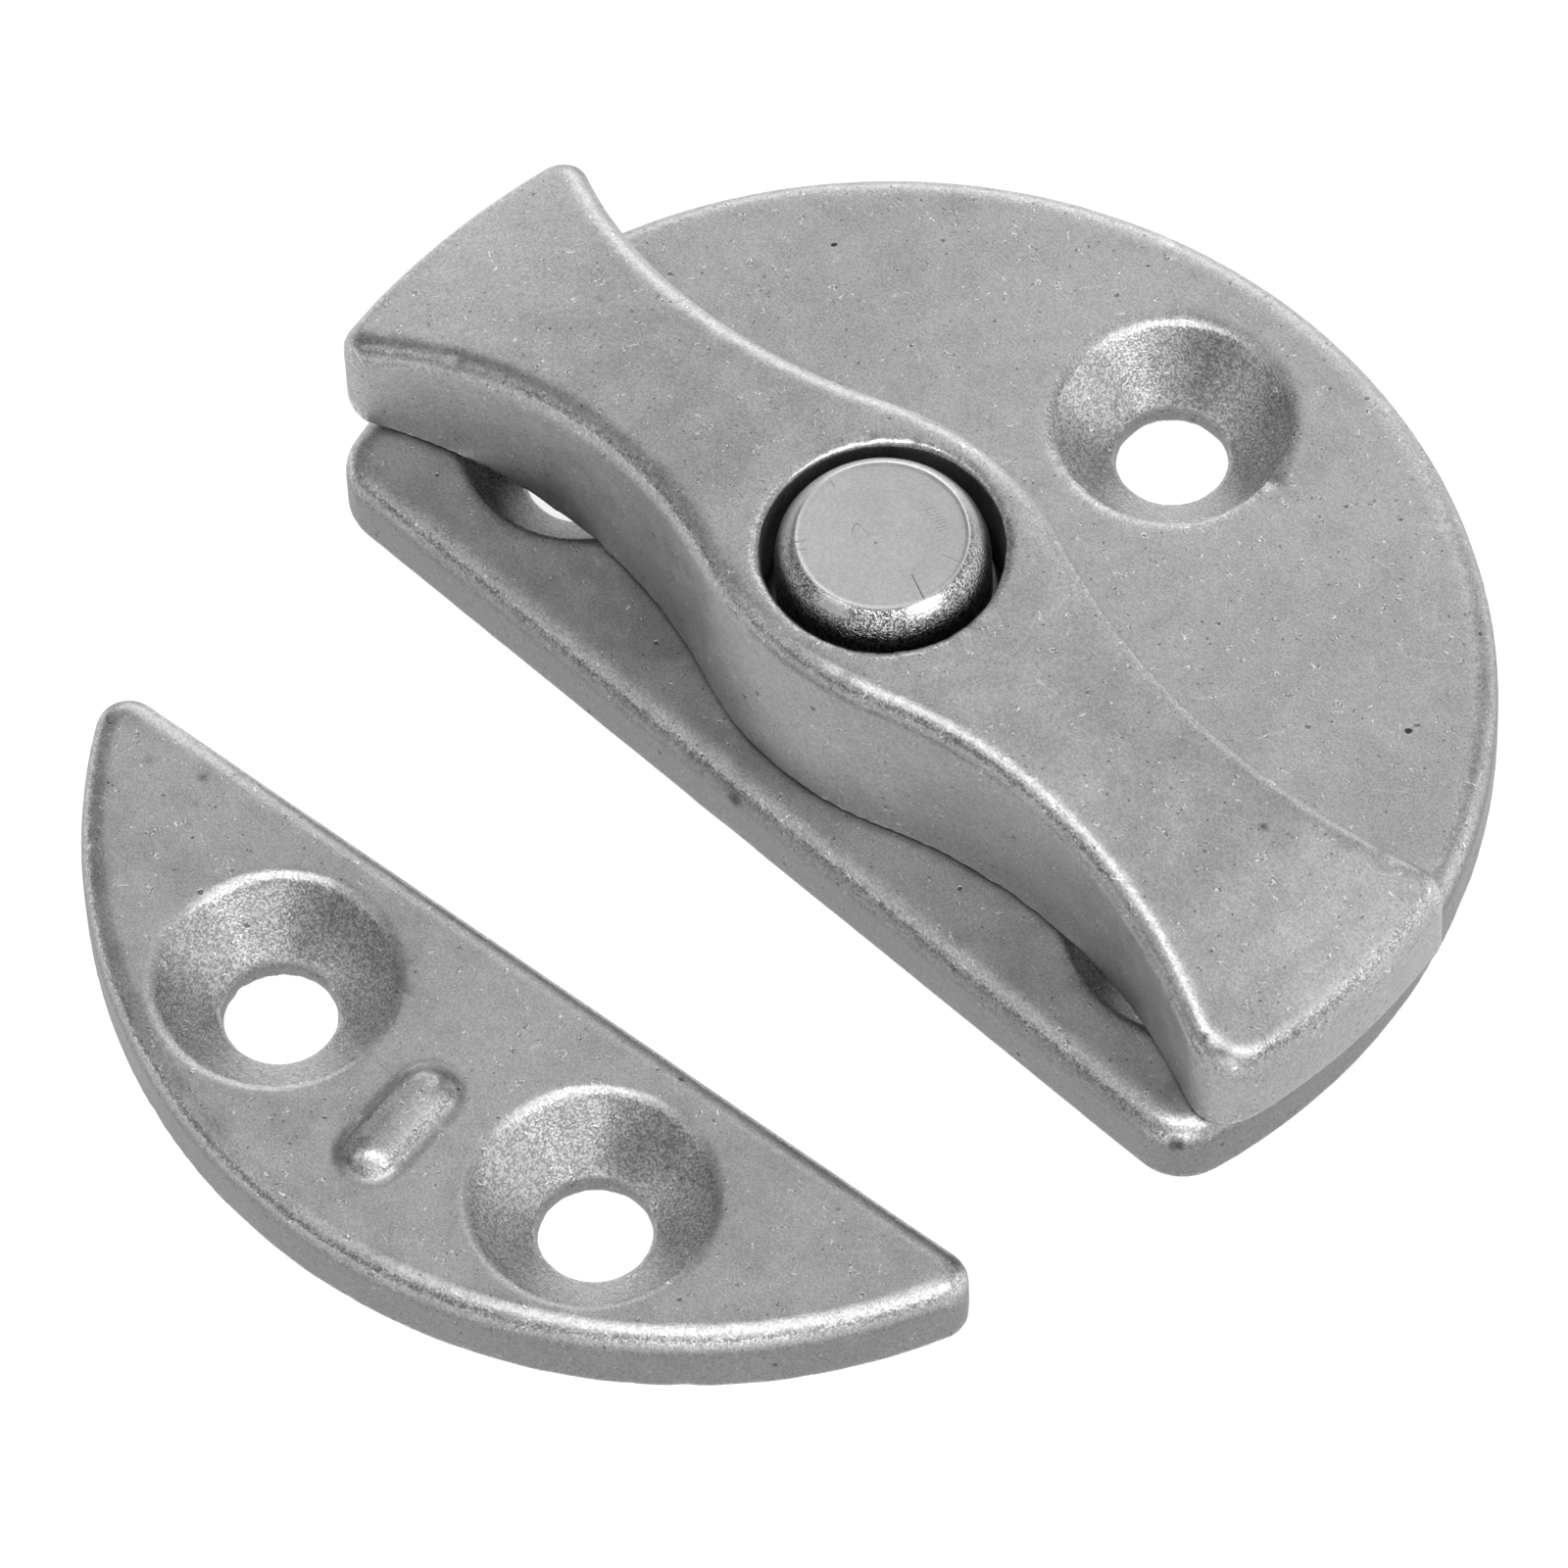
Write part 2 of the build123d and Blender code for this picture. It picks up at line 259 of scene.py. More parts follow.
def make_world():
    """Studio round the part: pale at the level of the floor, dim above it and dimmer to the left."""
    world = bpy.data.worlds.new("studio")
    bpy.context.scene.world = world
    world.use_nodes = True
    world.node_tree.nodes.clear()
    bench = Bench(world.node_tree)
    direction = bench.node("ShaderNodeTexCoord").outputs["Generated"]
    split = bench.node("ShaderNodeSeparateXYZ", {0: direction}).outputs
    across = bench.math("ADD", split["X"], bench.math("MULTIPLY", split["Y"], 0.3))
    room = bench.step(across, -0.9, 0.3, start=LEFT_OF_ROOM, end=RIGHT_OF_ROOM)
    low_down = bench.step(split["Z"], 0.06, 0.11, start=1.0, end=0.0)
    over = bench.math("MULTIPLY", bench.math("SUBTRACT", FOOT_OF_ROOM, room), low_down)
    strength = bench.math("ADD", room, over)
    backdrop = bench.node("ShaderNodeBackground", {"Color": grey(1), "Strength": strength})
    bench.node("ShaderNodeOutputWorld", {"Surface": backdrop.outputs[0]})


# Effects that several finishes share

def make_group(name, inputs, outputs):
    """Empty shader group; returns its bench, the sockets that it reads and those that it fills.

    Inputs are labels with their first values, where None stands for a vector that is always fed.
    """
    tree = bpy.data.node_groups.new(name, "ShaderNodeTree")
    for label, value in inputs.items():
        kind = "NodeSocketVector" if value is None else "NodeSocketFloat"
        socket = tree.interface.new_socket(label, in_out="INPUT", socket_type=kind)
        if value is not None:
            socket.default_value = value
    for label in outputs:
        tree.interface.new_socket(label, in_out="OUTPUT", socket_type="NodeSocketFloat")
    bench = Bench(tree)
    read = bench.node("NodeGroupInput").outputs
    filled = bench.node("NodeGroupOutput").inputs
    return bench, [read[label] for label in inputs], filled


def make_grain_group():
    """Sandy grain of a tumbled casting: sharp speckle, softer blotches and a height for the bump."""
    inputs = {"Place": None, "Speckle per metre": 9000.0, "Blotch per metre": 600.0}
    bench, read, filled = make_group("casting_grain", inputs, ("Speckle", "Blotch", "Height"))
    place, fine, wide = read
    speckle = bench.noise(place, fine, 1.5, 0.6)
    coarse = bench.noise(place, bench.math("MULTIPLY", fine, 0.38), 2.0, 0.6)
    blotch = bench.noise(place, wide, 3.0, 0.55)
    cloud = bench.noise(place, bench.math("MULTIPLY", wide, 0.22), 2.0, 0.5)
    sand = bench.math("ADD", bench.math("MULTIPLY", speckle, 0.7), bench.math("MULTIPLY", coarse, 0.3))
    broad = bench.math("ADD", bench.math("MULTIPLY", blotch, 0.5), bench.math("MULTIPLY", cloud, 0.5))
    bench.feed(filled["Speckle"], bench.step(sand, 0.37, 0.63))
    bench.feed(filled["Blotch"], bench.step(broad, 0.32, 0.68))
    bench.feed(filled["Height"], sand)
    return bench.tree


def make_pit_group():
    """Sparse round pits: cells of which only some hold a pit, each of its own width."""
    inputs = {"Place": None, "Cells per metre": 900.0, "Share": 0.2}
    bench, (place, cells, share), filled = make_group("casting_pits", inputs, ("Pit",))
    wobble = bench.node("ShaderNodeTexNoise", {"Vector": place, "Scale": 7000.0, "Detail": 1.0})
    shift = bench.vector("SCALE", wobble.outputs["Color"], 0.00012)[0]
    moved = bench.vector("ADD", place, shift)[0]
    dots = bench.node("ShaderNodeTexVoronoi", {"Vector": moved, "Scale": cells}).outputs
    chance = bench.node("ShaderNodeSeparateColor", {0: dots["Color"]}).outputs
    held = bench.math("LESS_THAN", chance[0], share)
    radius = bench.spread(chance[1], 0.05, 0.15)
    inside = bench.step(bench.math("DIVIDE", dots["Distance"], radius), 0.5, 1.1, 1.0, 0.0)
    bench.feed(filled["Pit"], bench.math("MULTIPLY", held, inside))
    return bench.tree


def make_hairline_group():
    """Fine handling scratches: thin contour lines of a stretched field, broken into short runs.

    Two such fields lie across each other.
    """
    inputs = {"Place": None, "Lines per metre": 260.0, "Runs per metre": 420.0, "Width": 0.01}
    bench, (place, often, broken, width), filled = make_group("hairlines", inputs, ("Line",))
    total = 0.0
    for turn, offset in ((0.5, 0.0), (2.3, 0.013)):
        feeds = {"Vector": place, "Location": (offset, offset, 0), "Rotation": (0.3, 0.2, turn)}
        aim = bench.node("ShaderNodeMapping", feeds).outputs[0]
        stretched = bench.vector("MULTIPLY", aim, (0.25, 1.0, 1.0))[0]
        field = bench.noise(stretched, often, 0.0)
        off_line = bench.math("ABSOLUTE", bench.math("SUBTRACT", field, 0.5))
        line = bench.kept(bench.math("DIVIDE", off_line, width), 0.0)
        runs = bench.step(bench.noise(aim, broken, 1.0), 0.6, 0.68)
        total = bench.math("MAXIMUM", total, bench.math("MULTIPLY", line, runs))
    bench.feed(filled["Line"], total)
    return bench.tree


def make_mark_group():
    """One straight scratch, or a dot where both ends are one point: how near a place is to it.

    The nearest point is start + (end - start) * t, t = (place - start).(end - start) / length^2
    kept between 0 and 1.
    """
    inputs = {"Place": None, "Start": None, "End": None, "Half width": 0.00003}
    bench, (place, start, end, half), filled = make_group("single_mark", inputs, ("Mark",))
    run = bench.vector("SUBTRACT", end, start)[0]
    off = bench.vector("SUBTRACT", place, start)[0]
    square = bench.math("ADD", bench.vector("DOT_PRODUCT", run, run)["Value"], 1e-12)
    along = bench.vector("DOT_PRODUCT", off, run)["Value"]
    foot = bench.vector("SCALE", run, bench.math("DIVIDE", along, square, clamp=True))[0]
    gap = bench.math("DIVIDE", bench.vector("DISTANCE", off, foot)["Value"], half)
    bench.feed(filled["Mark"], bench.step(gap, 0.5, 1.2, 1.0, 0.0))
    return bench.tree


def make_wear_group():
    """Edge wear from a piece's own wear field, broken up by grain: worn bright, and patchy painted
    shade where its painted-shade field is high.
    """
    inputs = {"Wear": 0.0, "Painted shade": 0.0, "Speckle": 0.5, "Blotch": 0.5}
    bench, read, filled = make_group("edge_wear", inputs, ("Bright", "Dark"))
    wear, painted_shade, speckle, blotch = read
    soft, sharp = bench.math("MULTIPLY", blotch, 0.5), bench.math("MULTIPLY", speckle, 0.35)
    uneven = bench.math("ADD", bench.math("ADD", soft, sharp), 0.25)
    # painted shade, made patchy by blotches
    patchy_shade = bench.math("ADD", bench.math("MULTIPLY", blotch, 0.6), 0.5)
    bright = bench.math("MULTIPLY", wear, uneven)
    dark = bench.math("MULTIPLY", painted_shade, patchy_shade)
    bench.feed(filled["Bright"], bench.step(bright, 0.25, 0.85))
    bench.feed(filled["Dark"], bench.step(dark, 0.15, 0.9))
    return bench.tree


effects = {
    "grain": make_grain_group(),
    "pits": make_pit_group(),
    "hairlines": make_hairline_group(),
    "wear": make_wear_group(),
    "mark": make_mark_group(),
}


# Finishes

def marked(bench, place, marks):
    """Strongest of several single marks, 0 for none; a mark is start, end and half width in mm."""
    total = 0.0
    for start, end, half in marks:
        feeds = {
            "Place": place, "Start": [v * MM for v in start], "End": [v * MM for v in end],
            "Half width": half * MM,
        }
        total = bench.math("MAXIMUM", total, bench.effect("mark", feeds)["Mark"])
    return total


def make_finish(name):
    """Metal with a bench, its Principled node and its place in the frame."""
    finish = bpy.data.materials.new(name)
    finish.use_nodes = True
    shader = finish.node_tree.nodes["Principled BSDF"]
    shader.inputs["Metallic"].default_value = 1.0
    bench = Bench(finish.node_tree)
    return finish, bench, shader, bench.node("ShaderNodeTexCoord").outputs["Object"]


def make_casting_finish(name, tone, wall_shade, roughness, dots):
    """Matt cast stainless steel: grainy, blotched, pitted, finely scratched, bright along its edges.

    tone is the grey of level faces, wall_shade what upright walls keep of it, as painted shade. Slopes
    at 45 degrees are grainier and glossier than the rest, and carry a painted glint. Creases,
    undersides and the far side's edges take painted shade, and undersides a painted shadow line.
    """
    finish, bench, shader, place = make_finish(name)
    worn, painted_shade, upright, stain_and_shadow, slope = (
        bench.field(field) for field in ("wear", "painted_shade", "upright", "stain_and_shadow", "slope")
    )
    grain = bench.effect("grain", {"Place": place})
    speckle, blotch = grain["Speckle"], grain["Blotch"]
    pits = bench.effect("pits", {"Place": place})["Pit"]
    fine_pits = {"Place": place, "Cells per metre": 1700.0, "Share": 0.95}
    specks = bench.effect("pits", fine_pits)["Pit"]
    lines = bench.effect("hairlines", {"Place": place})["Line"]
    short = {"Place": place, "Lines per metre": 1500.0, "Runs per metre": 1900.0, "Width": 0.035}
    ticks = bench.effect("hairlines", short)["Line"]
    wear = bench.effect("wear", {"Wear": worn, "Painted shade": painted_shade, "Speckle": speckle, "Blotch": blotch})
    dark_dots = marked(bench, place, dots)

    contrast = bench.math("ADD", bench.math("MULTIPLY", bench.math("ADD", worn, slope), 0.25), 0.3)
    swing = bench.math("MULTIPLY", bench.math("SUBTRACT", speckle, 0.5), contrast)
    bright_or_dark = bench.step(speckle, 0.4, 0.6, -0.45, 0.7)
    # painted glint: a sparkle pattern painted into the colour of 45 degree slopes
    glint = bench.math("MULTIPLY", slope, bench.step(grain["Height"], 0.45, 0.57, -0.13, 0.07))
    grainy = bench.math("MULTIPLY", bench.math("ADD", swing, 1.0), tone)
    shade = bench.multiplied(grainy, (
        bench.spread(blotch, 0.92, 1.07),
        bench.math("ADD", bench.math("MULTIPLY", ticks, bright_or_dark), 1.0),
        bench.kept(specks, SPECK),
        bench.math("ADD", glint, 1.0),
        bench.kept(dark_dots, DOT),
        # painted shade: upright walls darker than level faces
        bench.kept(upright, wall_shade),
        bench.kept(wear["Bright"], WORN_EDGE),
        # painted shade in creases, on undersides and on the far side's edges
        bench.kept(wear["Dark"], SHADE),
        bench.kept(pits, PIT),
        bench.kept(lines, HAIRLINE),
        # real stains, and a painted shadow line along the edges of undersides
        bench.kept(stain_and_shadow, STAIN_AND_SHADOW),
    ))
    bench.feed(shader.inputs["Base Color"], shade)

    matt = bench.spread(blotch, roughness - 0.03, roughness + 0.04)
    polished = bench.math("MAXIMUM", wear["Bright"], bench.math("MULTIPLY", slope, 0.7))
    rough = bench.math("SUBTRACT", matt, bench.math("MULTIPLY", polished, 0.12))
    bench.feed(shader.inputs["Roughness"], rough)

    deep = bench.math("MULTIPLY", bench.math("ADD", pits, dark_dots), -3.0)
    coarse = bench.math("ADD", bench.math("MULTIPLY", slope, 1.6), 1.0)
    height = bench.math("ADD", bench.math("MULTIPLY", grain["Height"], coarse), deep)
    bump = {"Strength": 1.0, "Distance": CASTING_BUMP, "Height": height}
    bench.feed(shader.inputs["Normal"], bench.node("ShaderNodeBump", bump).outputs["Normal"])
    return finish


def make_turned_finish(name, tone, roughness, scratches):
    """Turned steel: fine rings round the pivot, single scratches, a glossy and coarser bevel with a
    painted dark reflection on one side, and a bright rim with two painted highlights.
    """
    finish, bench, shader, place = make_finish(name)
    # bevel makes the camera side of the bevel rougher and paints a dark reflection on it; "wear" holds
    # the bright rim and two painted highlights
    bevel, rim_and_highlights = bench.field("bevel"), bench.field("wear")
    split = bench.node("ShaderNodeSeparateXYZ", {0: place}).outputs
    squares = [bench.math("POWER", split[axis], 2.0) for axis in ("X", "Y")]
    reach = bench.math("SQRT", bench.math("ADD", *squares))
    rings_at = bench.node("ShaderNodeCombineXYZ", {"X": reach, "Y": split["Z"]}).outputs[0]
    rings = bench.noise(rings_at, 9000.0, 2.0, 0.7)
    grain = bench.effect("grain", {"Place": place})
    speckle, blotch = grain["Speckle"], grain["Blotch"]
    lines = bench.effect("hairlines", {"Place": place, "Lines per metre": 700.0})["Line"]
    single = marked(bench, place, scratches)
    scratched = bench.math("MAXIMUM", single, bench.math("MULTIPLY", lines, 0.7))

    # painted dark reflection on the bevel's side that faces the camera
    dark_reflection = bench.math("MULTIPLY", bevel, bench.step(speckle, 0.2, 0.8, 0.75, 0.1))
    shade = bench.multiplied(bench.spread(speckle, tone * 0.93, tone * 1.07), (
        bench.spread(blotch, 0.95, 1.05),
        bench.step(rings, 0.3, 0.7, 0.97, 1.03),
        bench.kept(scratched, PIN_SCRATCH),
        # bright rim and painted highlights
        bench.kept(rim_and_highlights, PIN_RIM_AND_HIGHLIGHT),
        bench.math("SUBTRACT", 1.0, dark_reflection),
    ))
    bench.feed(shader.inputs["Base Color"], shade)

    matt = bench.spread(blotch, roughness - 0.03, roughness + 0.03)
    polished = bench.math("MULTIPLY", bench.math("MAXIMUM", bevel, rim_and_highlights), 0.13)
    bench.feed(shader.inputs["Roughness"], bench.math("SUBTRACT", matt, polished))

    cut = bench.math("MULTIPLY", scratched, -1.0)
    coarse = bench.math("ADD", bench.math("MULTIPLY", bevel, 11.0), 0.5)
    skin = bench.math("MULTIPLY", grain["Height"], coarse)
    turned = bench.math("ADD", bench.math("MULTIPLY", rings, 0.2), cut)
    bump = {"Strength": 1.0, "Distance": TURNED_BUMP, "Height": bench.math("ADD", turned, skin)}
    bench.feed(shader.inputs["Normal"], bench.node("ShaderNodeBump", bump).outputs["Normal"])
    return finish


# Surfaces

def ramp(values, start, length):
    """(values - start) / length, kept between 0 and 1."""
    return np.clip((values - start) / length, 0, 1)


def soft_field(points, size, seed):
    """Smooth random field from -1 to 1: random values at the corners of cubes of this size, blended
    inside each cube by 3t^2 - 2t^3 along every axis.
    """
    table = np.random.default_rng(seed).uniform(-1, 1, TABLE_LENGTH)
    cell = np.floor(points / size)
    part = points / size - cell
    blend = part * part * (3 - 2 * part)
    cell = cell.astype(np.int64)
    total = np.zeros(len(points))
    for corner in CORNERS_OF_A_CELL:
        key = (cell + corner) @ TABLE_STEPS & (TABLE_LENGTH - 1)
        weight = np.where(corner, blend, 1 - blend).prod(axis=1)
        total += weight * table[key]
    return total


def relaxed(points, edges, passes):
    """Points drawn by a share towards the mean of their neighbours, over and over."""
    a, b = edges[:, 0], edges[:, 1]
    many = len(points)
    count = np.bincount(edges.ravel(), minlength=many)
    for _ in range(passes):
        sums = [
            np.bincount(a, points[b, k], many) + np.bincount(b, points[a, k], many) for k in range(3)
        ]
        points = points + RELAX_SHARE * (np.stack(sums, axis=1) / count[:, None] - points)
    return points


def even_copy(name, node, grid):
    """A node's surface as an even mesh in mm: merged, then remeshed on a cubic grid."""
    mesh = node.data.copy()
    mesh.transform(Matrix.Scale(1 / MM, 4))
    merged = bmesh.new()
    merged.from_mesh(mesh)
    bmesh.ops.remove_doubles(merged, verts=merged.verts, dist=0.0005)
    merged.to_mesh(mesh)
    merged.free()
    piece = put_in_scene(name, mesh)
    remesh = piece.modifiers.new("grid", "REMESH")
    remesh.mode = "VOXEL"
    remesh.voxel_size = grid
    remesh.use_smooth_shade = True
    graph = bpy.context.evaluated_depsgraph_get()
    even = bpy.data.meshes.new_from_object(piece.evaluated_get(graph))
    piece.modifiers.clear()
    piece.data = even
    even.materials.clear()
    return piece


def read_rows(layer, name, width=3, kind=float):
    """One row of numbers for each item of a mesh layer."""
    values = np.empty(len(layer) * width, dtype=kind)
    layer.foreach_get(name, values)
    return values.reshape(-1, width)


def store_fields(mesh, fields):
    """Fields on the points of a mesh, for its finish to read."""
    for name, values in fields.items():
        layer = mesh.attributes.new(name, "FLOAT", "POINT")
        layer.data.foreach_set("value", values.astype(np.float32))


def nearest_of(points, aim):
    """Index of the point nearest to an aim."""
    return ((points - aim) ** 2).sum(axis=1).argmin()


def scattered_dents(points, candidates, dents, rng):
    """Random dents: random places in the piece's box, each moved to the nearest candidate point."""
    many, radii, depths = dents
    low, high = points.min(axis=0), points.max(axis=0)
    found = []
    for _ in range(many):
        nearest = candidates[nearest_of(points[candidates], rng.uniform(low, high))]
        found.append((points[nearest].copy(), rng.uniform(*radii), rng.uniform(*depths)))
    return found


def dented(points, normals, dents):
    """Points pushed in by round dents of depth * (1 - (d / radius)^2)^2."""
    for place, radius, depth in dents:
        near = ((points - place) ** 2).sum(axis=1) / radius**2
        points = points - normals * (depth * np.clip(1 - near, 0, 1) ** 2)[:, None]
    return points


def waved(points, wear, seed):
    """How far each point moves out: the waves, each a height times a smooth random field, and one
    more that grows with wear.
    """
    wave = sum(
        height * soft_field(points, length, seed + k)
        for k, (height, length) in enumerate(WAVES, start=1)
    )
    return wave + EDGE_WAVE * wear * soft_field(points, EDGE_WAVE_LENGTH, seed + 4)


def stained(points, stains, seed):
    """Strength of the stains: each fades from its middle out, by a distance made ragged."""
    stain_and_shadow = np.zeros(len(points))
    for place, radius, strength in stains:
        middle = points[nearest_of(points, place)]
        distance = np.sqrt(((points - middle) ** 2).sum(axis=1))
        ragged = distance * (1 + 0.35 * soft_field(points, radius * 0.7, seed))
        stain_and_shadow = np.maximum(stain_and_shadow, strength * np.clip(1.5 - 1.5 * ragged / radius, 0, 1))
    return stain_and_shadow


def make_casting(name, node_name, body, finish, seed, grid, stains):
    """Cast piece: the solid's surface on a fine grid, relaxed, waved, dented, with its wear fields.

    Each point moves along its normal by the waves, and then by round dents. wear is how far relaxing
    would draw a point in, painted_shade how far out, for painted shade in creases. Stains are place,
    radius and strength. Faces that look down take painted shade and a painted shadow line along their
    edges, apart from a flat back on the floor; the far side's edges take painted shade and are dimmed.
    """
    piece = even_copy(name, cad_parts[node_name], grid)
    mesh = piece.data
    points = read_rows(mesh.vertices, "co")
    edges = read_rows(mesh.edges, "vertices", 2, np.int32)
    points = relaxed(points, edges, SMOOTH_PASSES)
    mesh.vertices.foreach_set("co", points.ravel())
    mesh.update()
    normals = read_rows(mesh.vertices, "normal")
    facing_up = normals[:, 2]

    bend = ((points - relaxed(points, edges, BEND_PASSES)) * normals).sum(axis=1)
    wear = ramp(bend, WEAR_STARTS, WEAR_RANGE)
    # painted shade on the far side's edges: their wear is dimmed and they are darkened
    far_side = ramp(normals @ FAR_SIDE, 0.1, 0.35)
    painted_shade = np.maximum(ramp(-bend, 0, HOLLOW_RANGE), wear * far_side)
    wear = wear * (1 - 0.8 * far_side)

    rng = np.random.default_rng(seed)
    everywhere = np.arange(len(points))
    dents = scattered_dents(points, everywhere, FACE_DENTS, rng)
    dents += scattered_dents(points, everywhere[wear > EDGE_WEAR], EDGE_DENTS, rng)
    points = dented(points + normals * waved(points, wear, seed)[:, None], normals, dents)

    under = ramp(-facing_up, 0.15, 0.4) * (points[:, 2] > CLEAR_OF_FLOOR)
    # painted shadow: a dark line along the edges of faces that look down, added to the real stains
    stain_and_shadow = np.maximum(stained(points, stains, seed + 5), 0.8 * under * (wear > 0.05))
    # painted shade on faces that look down
    painted_shade = np.maximum(painted_shade, under)
    # upright walls, which the finish darkens as painted shade
    upright = 1 - ramp(np.abs(facing_up), 0.15, 0.5)
    slope = np.clip(2 - np.abs(facing_up - 0.707) / 0.08, 0, 1) * (wear + painted_shade < 0.4)
    mesh.vertices.foreach_set("co", (points * MM).ravel())
    store_fields(mesh, {
        "wear": wear, "painted_shade": painted_shade, "upright": upright, "slope": slope, "stain_and_shadow": stain_and_shadow,
    })
    mesh.update()
    mesh.materials.append(finish)
    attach(piece, body)
    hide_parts(node_name)


def carried_round(profile, around):
    """Grid of a profile of radius and height carried round the pivot, and the faces between."""
    steps = len(around)
    reach = profile[:, 0][:, None]
    height = np.broadcast_to(profile[:, 1][:, None], (len(profile), steps))
    rings = np.stack([reach * np.cos(around), reach * np.sin(around), height], axis=2)
    row = np.arange(len(profile) - 1)[:, None] * steps
    here, there = np.arange(steps), (np.arange(steps) + 1) % steps
    quads = np.stack([row + here, row + there, row + steps + there, row + steps + here], axis=2)
    return rings.reshape(-1, 3), quads.reshape(-1, 4).tolist()


def make_turned_pin():
    """Pivot pin in one turned surface: riveted tail, shank, and a head with a full bevel.

    The profile runs from the middle of the back to the middle of the head. The bevel is the arc
    centre + radii * (cos a, sin a) with a from 0 to its sweep, and the flat is dished by
    dish * (1 - (r / rim)^2). It is carried round the pivot in equal steps.
    """
    angle = np.linspace(0, BEVEL_SWEEP, BEVEL_ROWS)
    bevel = BEVEL_CENTRE + BEVEL_RADII * np.stack([np.cos(angle), np.sin(angle)], axis=1)
    flat_height = np.full(len(FLAT_REACH), HEAD_TOP)
    flat_height[0] = FLAT_RIM
    flat_height -= DISH * (1 - (FLAT_REACH / FLAT_REACH[0]) ** 2)
    flat = np.stack([FLAT_REACH, flat_height], axis=1)
    profile = np.concatenate([np.array(PIN_FOOT), bevel, flat])
    around = np.arange(PIN_STEPS) * 2 * pi / PIN_STEPS
    grid, quads = carried_round(profile, around)
    on_head = (grid[:, 2] > HEAD_STARTS)[:, None]
    grid[:, :2] += 0.012 * soft_field(grid, 0.9, 51)[:, None] * on_head

    points = np.concatenate([grid, [(0, 0, 0), (0, 0, HEAD_TOP - DISH)]])
    back_middle, head_middle = len(grid), len(grid) + 1
    last = len(grid) - PIN_STEPS
    beside = [(k, (k + 1) % PIN_STEPS) for k in range(PIN_STEPS)]
    back = [(back_middle, b, a) for a, b in beside]
    top = [(head_middle, last + a, last + b) for a, b in beside]
    mesh = bpy.data.meshes.new("turned_pin")
    mesh.from_pydata((points * MM).tolist(), [], quads + back + top)
    mesh.shade_smooth()

    bevel_starts, flat_starts = len(PIN_FOOT) - 2, len(PIN_FOOT) + BEVEL_ROWS
    head = slice(bevel_starts, flat_starts)
    # rough_and_shaded_skin: a rougher bevel with a painted dark reflection on the side that faces the
    # camera
    rough_and_shaded_skin, rim_and_highlights = np.zeros((2, len(profile), PIN_STEPS))
    rough_and_shaded_side = np.clip(0.35 + np.cos(around - ROUGH_AND_SHADED_SIDE), 0, 1)
    rough_and_shaded_skin[bevel_starts:flat_starts - 1] = 0.1 + 0.9 * rough_and_shaded_side
    # rim_and_highlights: a bright rim round the flat, then two painted highlights on the bevel
    rim_and_highlights[flat_starts - 1:flat_starts + 1] = 0.3
    near_rim = ramp(profile[head, 1][:, None], 14.85, 0.25)
    for middle in HIGHLIGHT_PLACES:
        off = (around - middle + pi) % (2 * pi) - pi
        painted_highlight = np.exp(-((off / HIGHLIGHT_WIDTH) ** 2)) * near_rim
        rough_and_shaded_skin[head] *= 1 - painted_highlight
        rim_and_highlights[head] = np.maximum(rim_and_highlights[head], painted_highlight)
    middles = (0, 0)
    # the pin's "wear" field holds its bright rim and painted highlights
    store_fields(mesh, {"bevel": np.append(rough_and_shaded_skin, middles), "wear": np.append(rim_and_highlights, middles)})
    pin = put_in_scene("turned_pin", mesh)
    mesh.materials.append(pin_steel)
    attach(pin, "base")
    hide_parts("pivot_pin")


# Marks that the photograph shows: start, end and half width

PLATE_DOTS = [
    ((18.96, 13.65, 4.0), (18.96, 13.65, 4.0), 0.19),
    ((-17.83, 14.97, 4.0), (-17.8, 15.05, 4.0), 0.12),
]
LEVER_DOTS = [((26.9, -7.9, 12.9), (26.9, -7.9, 12.9), 0.12)]
HEAD_SCRATCHES = [
    ((2.55, 1.07, HEAD_TOP), (3.8, 1.39, HEAD_TOP), 0.03),
    ((2.34, -0.58, HEAD_TOP), (3.65, -1.15, HEAD_TOP), 0.035),
    ((0.03, -0.5, HEAD_TOP), (0.08, -0.46, HEAD_TOP), 0.06),
]
for k in range(8):
    # a row of short parallel scratches
    x, y = 0.6 + 0.166 * k, 2.48 - 0.062 * k
    HEAD_SCRATCHES.append(((x - 0.1, y - 0.21, HEAD_TOP), (x + 0.1, y + 0.21, HEAD_TOP), 0.03))

# Stains: place, radius and strength

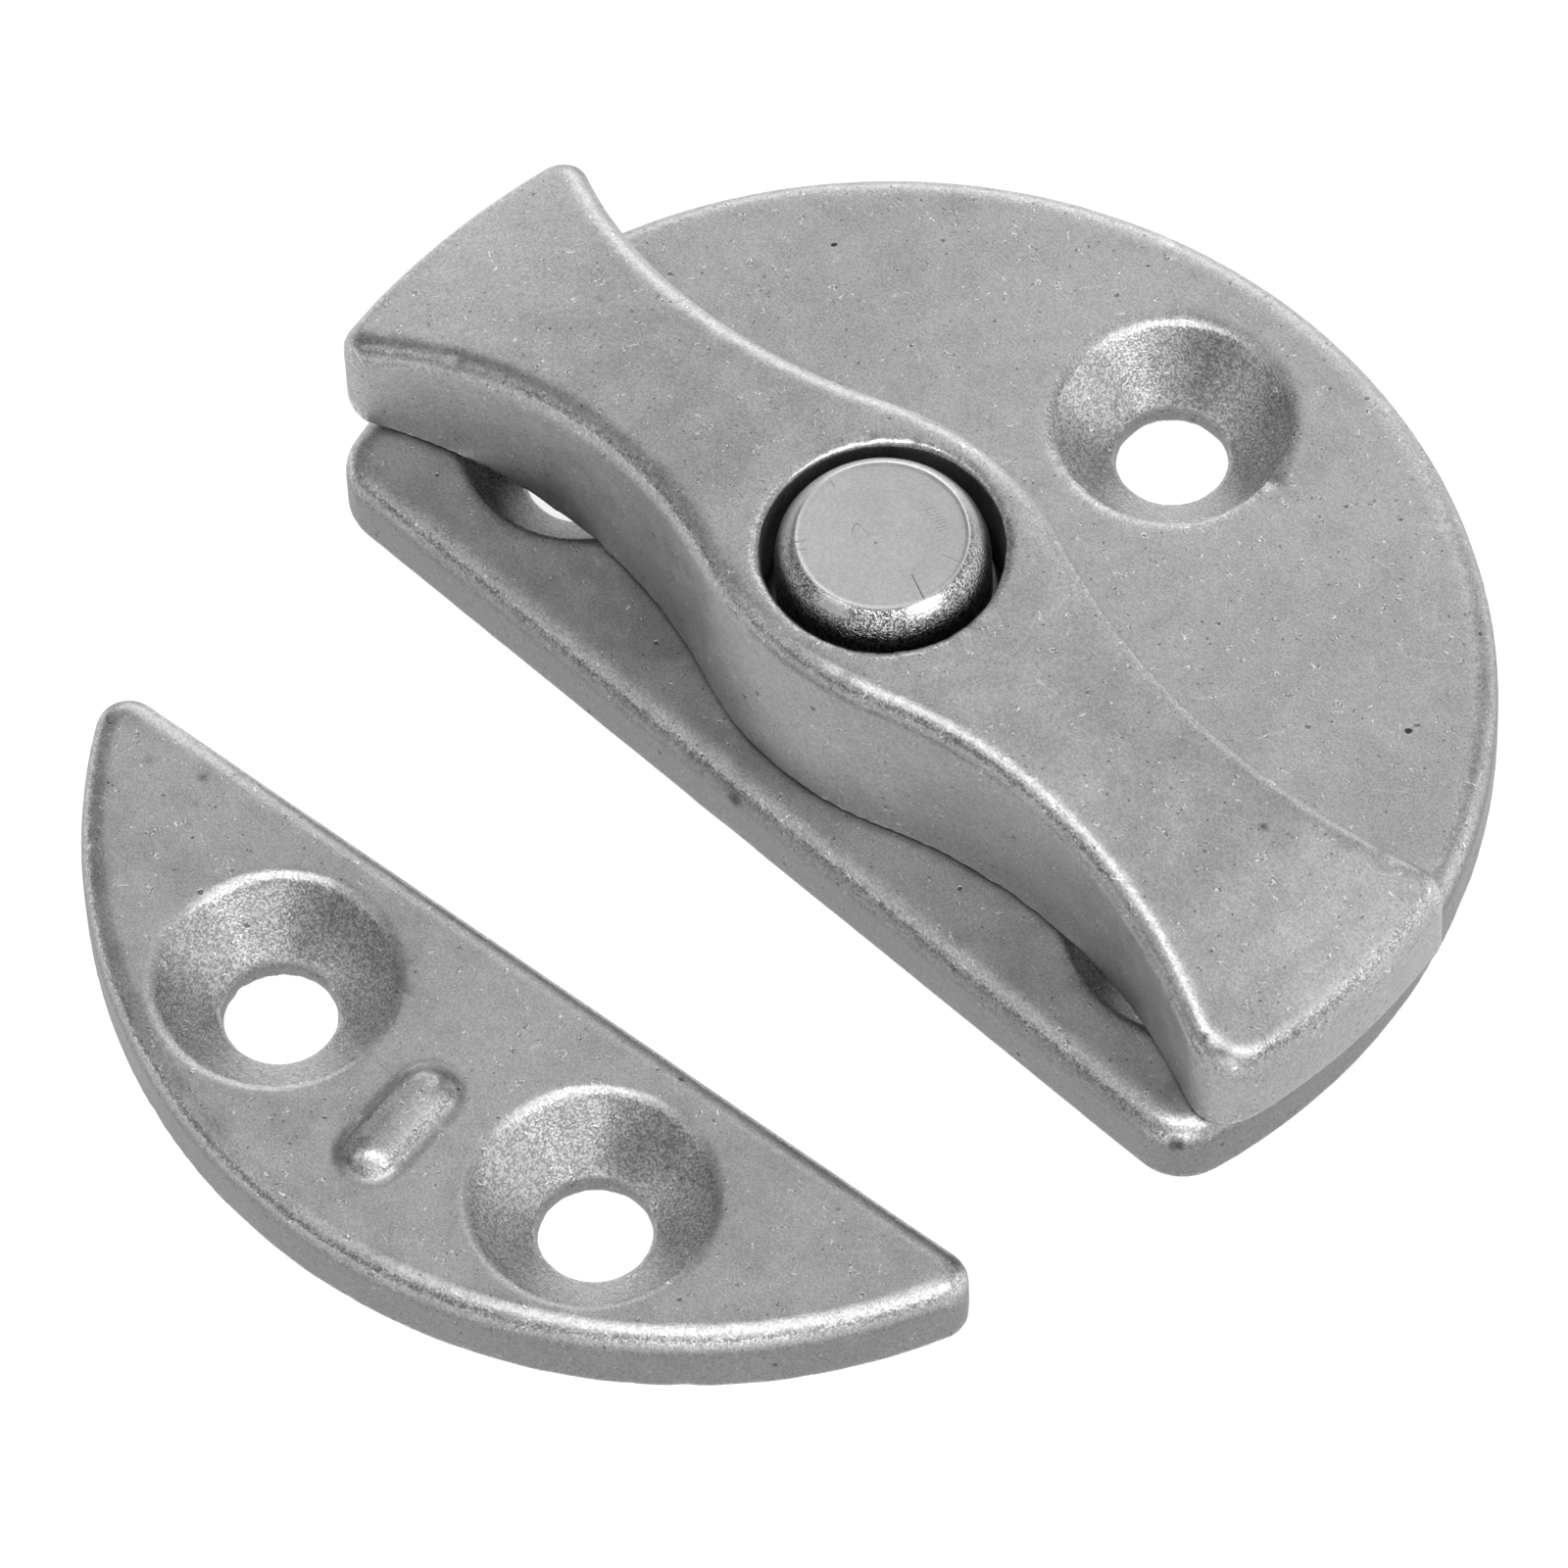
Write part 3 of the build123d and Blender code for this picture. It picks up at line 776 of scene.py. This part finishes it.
BASE_STAINS = [
    ((-0.7, -9.1, 3.2), 0.55, 0.8), ((-1.5, -9.1, 3.4), 0.3, 0.5), ((25.6, -8.3, 3.1), 0.5, 0.9),
    ((-19.7, 11.8, 4.0), 0.5, 0.3), ((-18.2, 11.0, 4.0), 0.35, 0.4), ((-15.4, 20.5, 4.0), 1.3, 0.2),
    ((-14.4, 15.9, 4.0), 1.0, 0.15), ((9.1, 18.7, 4.0), 1.5, 0.2), ((6.2, 22.8, 4.0), 1.1, 0.15),
    ((-23.2, 10.3, 4.0), 1.3, 0.2),
]
KEEPER_STAINS = [
    ((-20.9, -25.7, 4.0), 0.45, 0.4), ((0.3, -34.3, 4.4), 0.35, 0.7), ((-18.6, -24.8, 4.0), 0.35, 0.7),
    ((-17.7, -25.8, 4.0), 0.3, 0.4), ((-17.3, -26.9, 4.0), 0.3, 0.4),
]
LEVER_STAINS = [
    ((27.3, -7.4, 11.4), 0.7, 0.55), ((26.7, -8.0, 13.0), 0.28, 1.0), ((21.3, 2.1, 13.2), 0.3, 0.8),
    ((-19.8, 1.9, 13.5), 0.3, 0.4),
]

make_camera()
for lamp in LAMPS:
    make_lamp(*lamp)
make_floor()
make_world()
bpy.context.scene.view_settings.view_transform = "Standard"

plate_steel = make_casting_finish(
    "cast_steel", tone=0.445, wall_shade=0.49, roughness=0.44, dots=PLATE_DOTS
)
lever_steel = make_casting_finish(
    "lever_steel", tone=0.445, wall_shade=0.8, roughness=0.43, dots=LEVER_DOTS
)
pin_steel = make_turned_finish("pin_steel", tone=0.54, roughness=0.38, scratches=HEAD_SCRATCHES)
spring_steel = make_turned_finish("spring_steel", tone=0.3, roughness=0.4, scratches=[])

make_casting(
    "base_casting", "base_plate", "base", plate_steel,
    seed=11, grid=0.215, stains=BASE_STAINS,
)
make_casting(
    "keeper_casting", "keeper_plate", "base", plate_steel,
    seed=23, grid=0.2, stains=KEEPER_STAINS,
)
make_casting(
    "lever_casting", "turn_lever", "lever", lever_steel,
    seed=37, grid=0.2, stains=LEVER_STAINS,
)
make_turned_pin()

# The spring washer keeps the solid's own mesh
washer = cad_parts["spring_washer"]
washer.data.materials.clear()
washer.data.materials.append(spring_steel)
